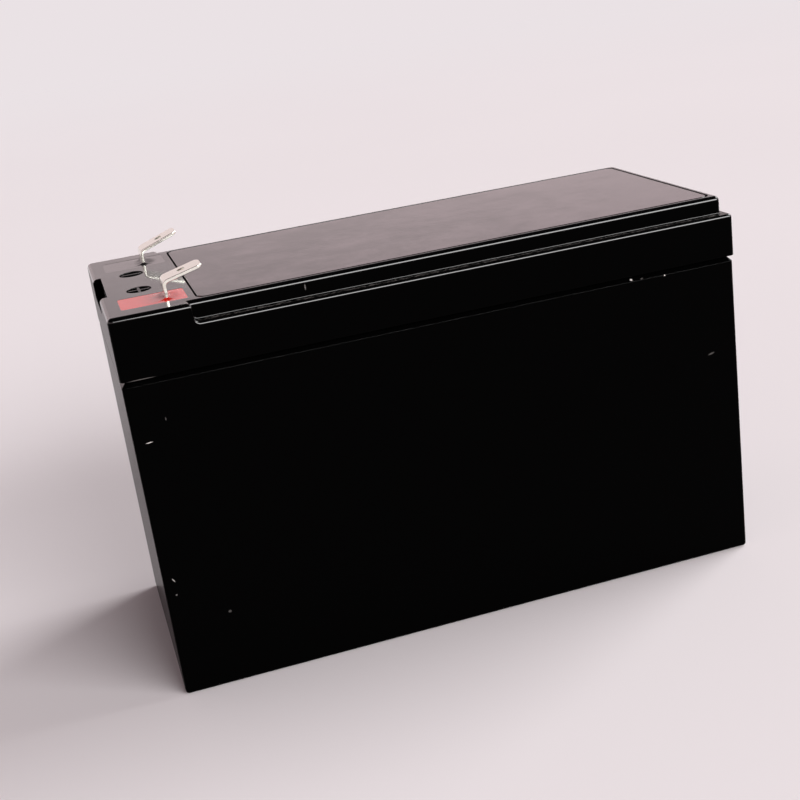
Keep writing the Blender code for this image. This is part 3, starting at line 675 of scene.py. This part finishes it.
def tab_place(side):
    """Where a tab stands."""
    return TABS[side][0].x + TAB_THICKNESS / 2, side * TAB_Y, 0.0


def tab_blade(name, side, node, rise, tilt, material):
    """A stamped blade: a rectangle with rounded edges carried along the bent line, with a coined tip and a
    hole."""
    line, way, shrink = tab_line(rise, tilt)
    half_width = TAB_WIDTH / 2 - TAB_TIP_NARROWING * shrink
    half_thickness = TAB_THICKNESS / 2 - TAB_TIP_THINNING * shrink
    corner = np.sign(rounded(rectangle((-1.0, -1.0), (1.0, 1.0), 0.0), [0.0], steps=TAB_EDGE_STEPS)[0])
    edge = rectangle((-TAB_EDGE, -TAB_EDGE), (TAB_EDGE, TAB_EDGE), TAB_EDGE)
    arc = rounded(edge, [0.0], steps=TAB_EDGE_STEPS)[0]
    size = np.stack([half_width, half_thickness], axis=1)[:, None] - TAB_EDGE
    flat = size * corner + arc
    across = np.array([0.0, 1.0, 0.0])
    through = np.cross(way, across)
    rings = line[:, None] + flat[..., :1] * across + flat[..., 1:] * through[:, None]
    rings += tab_place(side)
    blade = linked(name, mesh_of(name, [rings]))
    out = way[-1]
    middle = line[-1] - TAB_HOLE_FROM_TIP * out + tab_place(side)
    wide, face = TAB_HOLE + TAB_HOLE_WIDER, TAB_THICKNESS / 2
    profile = [
        (wide, -TAB_THICKNESS), (wide, -face), (TAB_HOLE, TAB_HOLE_ROUND - face),
        (TAB_HOLE, face - TAB_HOLE_ROUND), (wide, face), (wide, TAB_THICKNESS),
    ]
    drill = turned(profile, (0.0, 0.0))
    axes = np.stack([out, across, np.cross(out, across)])
    change(blade, "DIFFERENCE", [drill @ axes + middle])
    return shown(blade, node, material)


def epoxy_fill(name, side, node, material):
    """Set epoxy in a pocket: a grid between the tab's slot and the pocket's wall, whose height climbs at the
    tab by an exponential of the distance, closed by its sides and bottom."""
    low, high = SEAL_BOX[0].z, HEIGHT - SEAL_DROP
    outside = rounded(pocket(side, 0.0), [0.0], steps=ARC_STEPS)[0]
    half = TAB_THICKNESS / 2, TAB_WIDTH / 2
    middle = tab_place(side)
    slot_corners = rectangle(
        (middle[0] - half[0], middle[1] - half[1]), (middle[0] + half[0], middle[1] + half[1]), 0.0
    )
    inside = rounded(slot_corners, [0.0], steps=ARC_STEPS)[0]
    share = (1.0 - np.cos(np.linspace(0.0, math.pi, 4 * ARC_STEPS))) / 2
    flat = inside + (outside - inside) * share[:, None, None]
    height = high + TAB_CLIMB * np.exp(-np.linalg.norm(flat - inside, axis=2) / CLIMB_LENGTH)
    top = np.concatenate([flat, height[..., None]], axis=2)
    bottom = np.concatenate([flat[[0, -1]], np.full((2, flat.shape[1], 1), low)], axis=2)
    fill = linked(name, mesh_of(name, [np.concatenate([top, bottom[::-1], top[:1]])]))
    return shown(fill, node, material)


# Finishes

# Settings that many nodes share, and the places of a colour mix's inputs
TIMES = {"operation": "MULTIPLY"}
TIMES_PLUS = {"operation": "MULTIPLY_ADD"}
MINUS = {"operation": "SUBTRACT"}
LARGER = {"operation": "MAXIMUM"}
UNSIGNED = {"operation": "ABSOLUTE"}
SMOOTH = {"interpolation_type": "SMOOTHSTEP"}
COLOURS = {"data_type": "RGBA"}
SHARE, FIRST, SECOND = 0, 6, 7


def linear(colour):
    """The linear value of an sRGB hex colour, for a socket."""
    parts = np.array([int(colour[i:i + 2], 16) for i in (1, 3, 5)]) / 255
    return (*np.where(parts <= 0.04045, parts / 12.92, ((parts + 0.055) / 1.055) ** 2.4).tolist(), 1.0)


def feed(tree, node, inputs):
    """Gives a node its inputs, by place or by name: each is a value, a socket to link, or a node whose first
    result is linked."""
    for name, value in inputs.items() if isinstance(inputs, dict) else enumerate(inputs):
        if isinstance(value, bpy.types.Node):
            value = next(socket for socket in value.outputs if socket.enabled)
        if isinstance(value, bpy.types.NodeSocket):
            tree.links.new(value, node.inputs[name])
        else:
            node.inputs[name].default_value = value


def add(tree, kind, inputs=(), **settings):
    """Adds a node with its settings and its inputs."""
    made = tree.nodes.new("ShaderNode" + kind)
    for name, value in settings.items():
        setattr(made, name, value)
    feed(tree, made, inputs)
    return made


def new_finish(name):
    """An empty material, its tree and its shader."""
    material = bpy.data.materials.new(name)
    material.use_nodes = True
    return material, material.node_tree, material.node_tree.nodes["Principled BSDF"]


def inside_ellipsoid(tree, place, spot):
    """1 in the middle of an ellipsoid and 0 outside it: a spot gives its middle, half sizes and turn about
    Y in degrees."""
    middle, half, turn = spot
    inputs = {
        "Vector": place,
        "Location": middle,
        "Rotation": (0.0, -math.radians(turn), 0.0),
        "Scale": half,
    }
    near = add(tree, "Mapping", inputs, vector_type="TEXTURE")
    away = add(tree, "VectorMath", (near,), operation="LENGTH")
    return add(tree, "MapRange", (away, 1.0, 0.4), **SMOOTH)


def nicks_and_highlight(tree, place, spots):
    """Where a side that faces along Y is marked by wear or a painted highlight: an ellipse about each spot,
    which gives its middle, half length, half width, turn in degrees and strength."""
    mask = 0.0
    for middle, half_length, half_width, turn, strength in spots:
        here = inside_ellipsoid(tree, place, (middle, (half_length, NICK_DEPTH, half_width), turn))
        mask = add(tree, "Math", (mask, add(tree, "Math", (here, strength), **TIMES)), **LARGER)
    return mask


def gloss_black_abs(name, dust_and_reflection_tone, dust_and_reflection_tint, scuffs_and_highlight=(), shine=1.0):
    """Injection-moulded black ABS off a polished tool: near black on its sides, a wet shine on what faces up,
    a thin uneven layer of dust on the top with a painted reflection of the pale wall, paler towards +X, and
    lint along the ledge."""
    material, tree, shader = new_finish(name)
    coordinates = add(tree, "TexCoord").outputs
    place = coordinates["Object"]
    facing = add(tree, "SeparateXYZ", (coordinates["Normal"],)).outputs["Z"]
    at = add(tree, "SeparateXYZ", (place,)).outputs
    level = add(tree, "MapRange", (facing, 0.95, 0.995), **SMOOTH)
    high = add(tree, "MapRange", (at["Z"], HEIGHT - DUST_AND_REFLECTION_FADE[0], HEIGHT - DUST_AND_REFLECTION_FADE[1]), **SMOOTH)
    on_top = add(tree, "Math", (level, high), **TIMES)
    # the top's layer is thinner in the dishes, a painted shade there, and their floors and marks are
    # spark-eroded and have no shine
    dish = add(tree, "Math", [inside_ellipsoid(tree, place, (middle, DISH_REACH, 0.0)) for middle in DISHES], **LARGER)
    thinned_as_painted_dish_shade = add(tree, "Math", (1.0, add(tree, "Math", (dish, 0.4), **TIMES)), **MINUS)
    on_top = add(tree, "Math", (on_top, thinned_as_painted_dish_shade), **TIMES)
    # clouds of dust 12 mm across, with a mottle of 1.5 mm in them, and a painted reflection of the pale wall
    # that grows paler towards +X
    clouds = add(tree, "TexNoise", {"Vector": place, "Scale": 80.0, "Detail": 7.0, "Roughness": 0.8})
    dust_share_with_painted_gradient = add(tree, "Math", (at["X"], 2.0, clouds), **TIMES_PLUS)
    dust_share_with_painted_gradient = add(tree, "MapRange", (dust_share_with_painted_gradient, 0.28, 0.72), **SMOOTH)
    dust_with_painted_reflection = add(tree, "Mix", {SHARE: dust_share_with_painted_gradient, FIRST: linear(dust_and_reflection_tone), SECOND: linear(dust_and_reflection_tint)}, **COLOURS)
    # grains of dust 0.3 mm across and 2 mm apart, drawn coarser than the real ones so that they show
    grains = add(tree, "TexVoronoi", {"Vector": place, "Scale": 520.0, "Randomness": 1.0}).outputs
    grain = add(tree, "MapRange", (grains["Distance"], 0.10, 0.05), **SMOOTH)
    grain = add(tree, "Math", (grain, grains["Color"]), **TIMES)
    grain = add(tree, "Math", (grain, 0.5), **TIMES)
    dust_with_painted_reflection = add(tree, "Mix", {SHARE: grain, FIRST: dust_with_painted_reflection, SECOND: linear("#8c8886")}, **COLOURS)
    # specks of lint 0.8 mm across
    specks = add(tree, "TexNoise", {"Vector": place, "Scale": 1300.0, "Detail": 3.0})
    # they lie on the inner part of the ledge and in the corner at the foot of its riser
    past = [
        add(tree, "Math", (add(tree, "Math", (at[axis],), **UNSIGNED), half), **MINUS)
        for axis, half in (("Y", HALF_WIDTH), ("X", HALF_LENGTH))
    ]
    past = add(tree, "Math", past, **LARGER)
    ledge = add(tree, "MapRange", (past, -LINT_FROM_EDGE[0], -LINT_FROM_EDGE[1]), **SMOOTH)
    for limits in (
        (facing, 0.3, 0.7),
        (at["Z"], LEDGE_Z + LINT_FADE[0], LEDGE_Z + LINT_FADE[1]),
        (at["X"], BLOCK_X, BLOCK_X + LINT_FROM_BLOCK),
    ):
        ledge = add(tree, "Math", (ledge, add(tree, "MapRange", limits, **SMOOTH)), **TIMES)
    lint = add(tree, "MapRange", (specks, 0.42, 0.68), **SMOOTH)
    lint = add(tree, "Math", (lint, add(tree, "Math", (ledge, level), **TIMES)), **TIMES)
    dark = add(tree, "Mix", {SHARE: lint, FIRST: linear("#020202"), SECOND: linear("#5f5b59")}, **COLOURS)
    # pale wear marks, and on the lid a painted highlight along its lower edge near the left end
    worn_and_painted_highlight = nicks_and_highlight(tree, place, scuffs_and_highlight)
    dark = add(tree, "Mix", {SHARE: worn_and_painted_highlight, FIRST: dark, SECOND: linear("#cfcac6")}, **COLOURS)
    # the faint waviness of a moulded face, 15 mm across
    waves = add(tree, "TexNoise", {"Vector": place, "Scale": 65.0, "Detail": 2.0})
    bump = add(tree, "Bump", {"Height": waves, "Strength": 0.25, "Distance": 0.0001})
    # dust takes some of the shine, and the dishes have little, least on their floors
    dusty = [add(tree, "Math", (mask, share), **TIMES) for mask, share in ((on_top, 0.15), (ledge, 0.7))]
    dull = add(tree, "Math", dusty, **LARGER)
    deep = add(tree, "MapRange", (at["Z"], HEIGHT - DISH_FADE[0], HEIGHT - DISH_FADE[1]), **SMOOTH)
    deep = add(tree, "Math", (deep, 0.25, 0.65), **TIMES_PLUS)
    dull = add(tree, "Math", (dull, add(tree, "Math", (dish, deep), **TIMES)), **LARGER)
    coat = add(tree, "MapRange", (facing, 0.10, 0.30), **SMOOTH)
    coat = add(tree, "Math", (coat, add(tree, "Math", (1.0, dull), **MINUS)), **TIMES)
    # the shine is in the coat alone, so that dust can take it away
    feed(tree, shader, {
        "Base Color": add(tree, "Mix", {SHARE: on_top, FIRST: dark, SECOND: dust_with_painted_reflection}, **COLOURS),
        "Coat Weight": add(tree, "Math", (coat, shine), **TIMES),
        "Normal": bump,
        "Roughness": 0.22,
        "Specular IOR Level": 0.01,
        "Coat Roughness": 0.06,
        "Coat IOR": 1.54,
    })
    return material


def tin_plate(name):
    """Brass strip with hot-dipped tin, stamped: bright, smooth and a little yellow, with faint cloudy
    patches."""
    material, tree, shader = new_finish(name)
    place = add(tree, "TexCoord").outputs["Object"]
    # patches 2 mm across
    patches = add(tree, "TexNoise", {"Vector": place, "Scale": 500.0, "Detail": 2.0})
    tones = {SHARE: patches, FIRST: linear("#f0f0e2"), SECOND: linear("#fbfcf4")}
    feed(tree, shader, {
        "Base Color": add(tree, "Mix", tones, **COLOURS),
        "Roughness": add(tree, "MapRange", {"Value": patches, "To Min": 0.13, "To Max": 0.19}),
        "Metallic": 1.0,
    })
    return material


def poured_epoxy(name, deep, pale, tab_shade_tone, foot):
    """Epoxy poured in place and set: glass-smooth with a slow swell, its pigment a little uneven, and darkened
    round the tab by painted shade."""
    material, tree, shader = new_finish(name)
    place = add(tree, "TexCoord").outputs["Object"]
    # drifts of pigment 4 mm across
    drift = add(tree, "TexNoise", {"Vector": place, "Scale": 250.0, "Detail": 2.0})
    colour = add(tree, "Mix", {SHARE: drift, FIRST: linear(deep), SECOND: linear(pale)}, **COLOURS)
    # the painted shade reaches 3 mm from the tab, unevenly, and further on the side that the tab leans to
    middle = (foot[0] + TAB_SHADE_SHIFT, foot[1], HEIGHT)
    painted_tab_shade = inside_ellipsoid(tree, place, (middle, TAB_SHADE_REACH, 0.0))
    painted_tab_shade = add(tree, "Math", (painted_tab_shade, add(tree, "MapRange", (drift, 0.25, 0.60), **SMOOTH)), **TIMES)
    strength = add(tree, "Math", (painted_tab_shade, 0.9), **TIMES)
    colour = add(tree, "Mix", {SHARE: strength, FIRST: colour, SECOND: linear(tab_shade_tone)}, **COLOURS)
    # the epoxy keeps little shine there
    coat = add(tree, "Math", (0.9, add(tree, "Math", (painted_tab_shade, 0.75), **TIMES)), **MINUS)
    # a swell 6 mm across
    swell = add(tree, "TexNoise", {"Vector": place, "Scale": 180.0, "Detail": 1.0})
    feed(tree, shader, {
        "Base Color": colour,
        "Normal": add(tree, "Bump", {"Height": swell, "Strength": 0.2, "Distance": 0.0002}),
        "Coat Weight": coat,
        "Roughness": 0.25,
        "Specular IOR Level": 0.05,
        "Coat Roughness": 0.05,
        "Coat IOR": 1.55,
    })
    return material


def grained(name, dark, light, roughness, grain, depth, metallic=0.0):
    """A dull surface mottled by its grain: cast lead, pasted plates, glass felt, rubber or glue."""
    material, tree, shader = new_finish(name)
    place = add(tree, "TexCoord").outputs["Object"]
    mottle = add(tree, "TexNoise", {"Vector": place, "Scale": 1.0 / grain, "Detail": 5.0})
    tones = {SHARE: mottle, FIRST: linear(dark), SECOND: linear(light)}
    feed(tree, shader, {
        "Base Color": add(tree, "Mix", tones, **COLOURS),
        "Normal": add(tree, "Bump", {"Height": mottle, "Strength": 0.6, "Distance": depth}),
        "Roughness": roughness,
        "Metallic": metallic,
    })
    return material


def dress_inside():
    """Finishes of the pieces inside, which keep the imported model's shapes."""
    kinds = {
        # even and dull
        "vent_cap": grained("moulded_epdm_rubber", "#141414", "#1f1f1e", 0.7, 0.0008, 0.00002),
        # dark, and smooth where it set
        "lid_adhesive": grained("gap_filling_epoxy", "#242220", "#38332c", 0.4, 0.0020, 0.00010),
        # chalky and rust-brown
        "positive_plates": grained("lead_dioxide_paste", "#3a2418", "#573a28", 0.85, 0.0007, 0.00006),
        # chalky and grey
        "negative_plates": grained("sponge_lead_paste", "#6a6c70", "#8b8d90", 0.7, 0.0007, 0.00006),
        # white and woolly
        "glass_mat": grained("absorbent_glass_felt", "#dcdbd2", "#f1f0ea", 0.95, 0.0004, 0.00008),
        # a dull metal with a frosted skin
        "cell_bridge": grained("cast_lead", "#7b7d82", "#a3a6ab", 0.5, 0.0015, 0.00005, metallic=1.0),
    }
    for name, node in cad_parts.items():
        for kind, material in kinds.items():
            if kind in name:
                node.data.materials.clear()
                node.data.materials.append(material)


# Stage

def floor():
    """A pale matt sweep under the battery; the camera sees the backdrop's plain colour from about a metre
    off, so that no view shows where the floor ends."""
    sheet = block((-SWEEP_HALF, -SWEEP_HALF, -SWEEP_THICKNESS), (SWEEP_HALF, SWEEP_HALF, -SWEEP_BELOW))
    ground = linked("floor", mesh_of("floor", [sheet]))
    material, tree, shader = new_finish("pale_matt_paper")
    place = add(tree, "TexCoord").outputs["Object"]
    # drifts of tone 30 cm across
    drift = add(tree, "TexNoise", {"Vector": place, "Scale": 3.0, "Detail": 1.0})
    tones = {SHARE: drift, FIRST: linear("#e6e0e2"), SECOND: linear("#eae4e6")}
    feed(tree, shader, {
        "Base Color": add(tree, "Mix", tones, **COLOURS),
        "Roughness": 0.9,
        "Specular IOR Level": 0.1,
    })
    away = add(tree, "VectorMath", (place,), operation="LENGTH")
    seen = add(tree, "LightPath").outputs["Is Camera Ray"]
    far = add(tree, "Math", (add(tree, "MapRange", (away, *SWEEP_FADE), **SMOOTH), seen), **TIMES)
    backdrop = add(tree, "Emission", {"Color": linear(BACKDROP)})
    sweep = add(tree, "MixShader", (far, shader, backdrop))
    feed(tree, tree.nodes["Material Output"], {"Surface": sweep})
    ground.data.materials.append(material)


def room_light():
    """A pale wall low round the horizon under a dim ceiling, which the polished top mirrors still darker;
    the camera sees the backdrop's plain colour there."""
    world = bpy.data.worlds.new("studio")
    world.use_nodes = True
    bpy.context.scene.world = world
    tree = world.node_tree
    ray = add(tree, "LightPath").outputs
    way = add(tree, "TexCoord").outputs["Generated"]
    height = add(tree, "SeparateXYZ", (way,)).outputs["Z"]
    tones = {SHARE: ray["Is Glossy Ray"], FIRST: linear("#665c5e"), SECOND: linear("#221f20")}
    ceiling = add(tree, "Mix", tones, **COLOURS)
    above = add(tree, "MapRange", (height, *WALL_TOP), **SMOOTH)
    room = add(tree, "Mix", {SHARE: above, FIRST: linear("#ecdadc"), SECOND: ceiling}, **COLOURS)
    tones = {SHARE: ray["Is Camera Ray"], FIRST: room, SECOND: linear(BACKDROP)}
    feed(tree, tree.nodes["Background"], {"Color": add(tree, "Mix", tones, **COLOURS), "Strength": 1.0})


def lamp(name, across, up, wide, high, share):
    """A rectangular lamp so many degrees round from +X and up, that spans so many degrees and gives the floor
    this share of its light; it stands far off, so that the floor is lit evenly."""
    light = bpy.data.lights.new(name, "AREA")
    light.shape = "RECTANGLE"
    light.size = 2 * LAMPS_AWAY * math.tan(math.radians(wide / 2))
    light.size_y = 2 * LAMPS_AWAY * math.tan(math.radians(high / 2))
    light.energy = share * (math.pi * LAMPS_AWAY) ** 2 / math.sin(math.radians(up))
    thing = bpy.data.objects.new(name, light)
    bpy.context.scene.collection.objects.link(thing)
    way = Euler((0.0, -math.radians(up), math.radians(across))).to_matrix() @ Vector((1.0, 0.0, 0.0))
    thing.location = LAMPS_AWAY * way
    thing.rotation_euler = (-way).to_track_quat("-Z", "Y").to_euler()


def lights():
    """A window to the right and a little behind, and a low softbox to the right of the camera, which draws
    the bright line along each rounded edge."""
    lamp("side_window", 15.0, 37.0, 32.0, 30.0, 0.41)
    lamp("front_softbox", -60.0, 25.0, 50.0, 21.0, 0.46)


def camera():
    """The photograph's point of view, with its slight lean."""
    lens = bpy.data.cameras.new("camera")
    lens.lens = FOCAL_LENGTH
    lens.sensor_width = SENSOR_WIDTH
    lens.clip_start = NEAREST_SEEN
    view = bpy.data.objects.new("camera", lens)
    bpy.context.scene.collection.objects.link(view)
    view.location = CAMERA_PLACE
    view.rotation_euler = Euler([math.radians(turn) for turn in CAMERA_TURNS])
    bpy.context.scene.camera = view


def battery():
    """Every piece that shows, each with its finish, and the finishes of those inside."""
    # after each name come the two tones of the dust on the top with its painted reflection of the wall
    case_body(gloss_black_abs("black_abs_polished_container", "#2c2a2a", "#383334", CASE_NICKS, shine=0.35))
    lid_moulding(gloss_black_abs("black_abs_polished_lid", "#202122", "#474a4a", LID_NICKS_AND_HIGHLIGHT))
    vent_cover_strip(gloss_black_abs("black_abs_polished_cover", "#221c1e", "#63565a"))
    tin = tin_plate("hot_tinned_brass")
    tab_blade("positive_tab_blade", -1, "positive_terminal", TAB_RISE, TAB_TILT, tin)
    tab_blade("negative_tab_blade", 1, "negative_terminal", NEGATIVE_RISE, NEGATIVE_TILT, tin)
    # the third colour of each epoxy is its painted shade round the tab
    red = poured_epoxy("red_pigmented_epoxy", "#c8180f", "#dc2a1e", "#86120c", tab_place(-1))
    black = poured_epoxy("black_pigmented_epoxy", "#1f1c1d", "#2a2728", "#0c0a0a", tab_place(1))
    epoxy_fill("positive_epoxy", -1, "positive_seal", red)
    epoxy_fill("negative_epoxy", 1, "negative_seal", black)
    dress_inside()


battery()
floor()
room_light()
lights()
camera()
bpy.context.scene.view_settings.view_transform = "Standard"
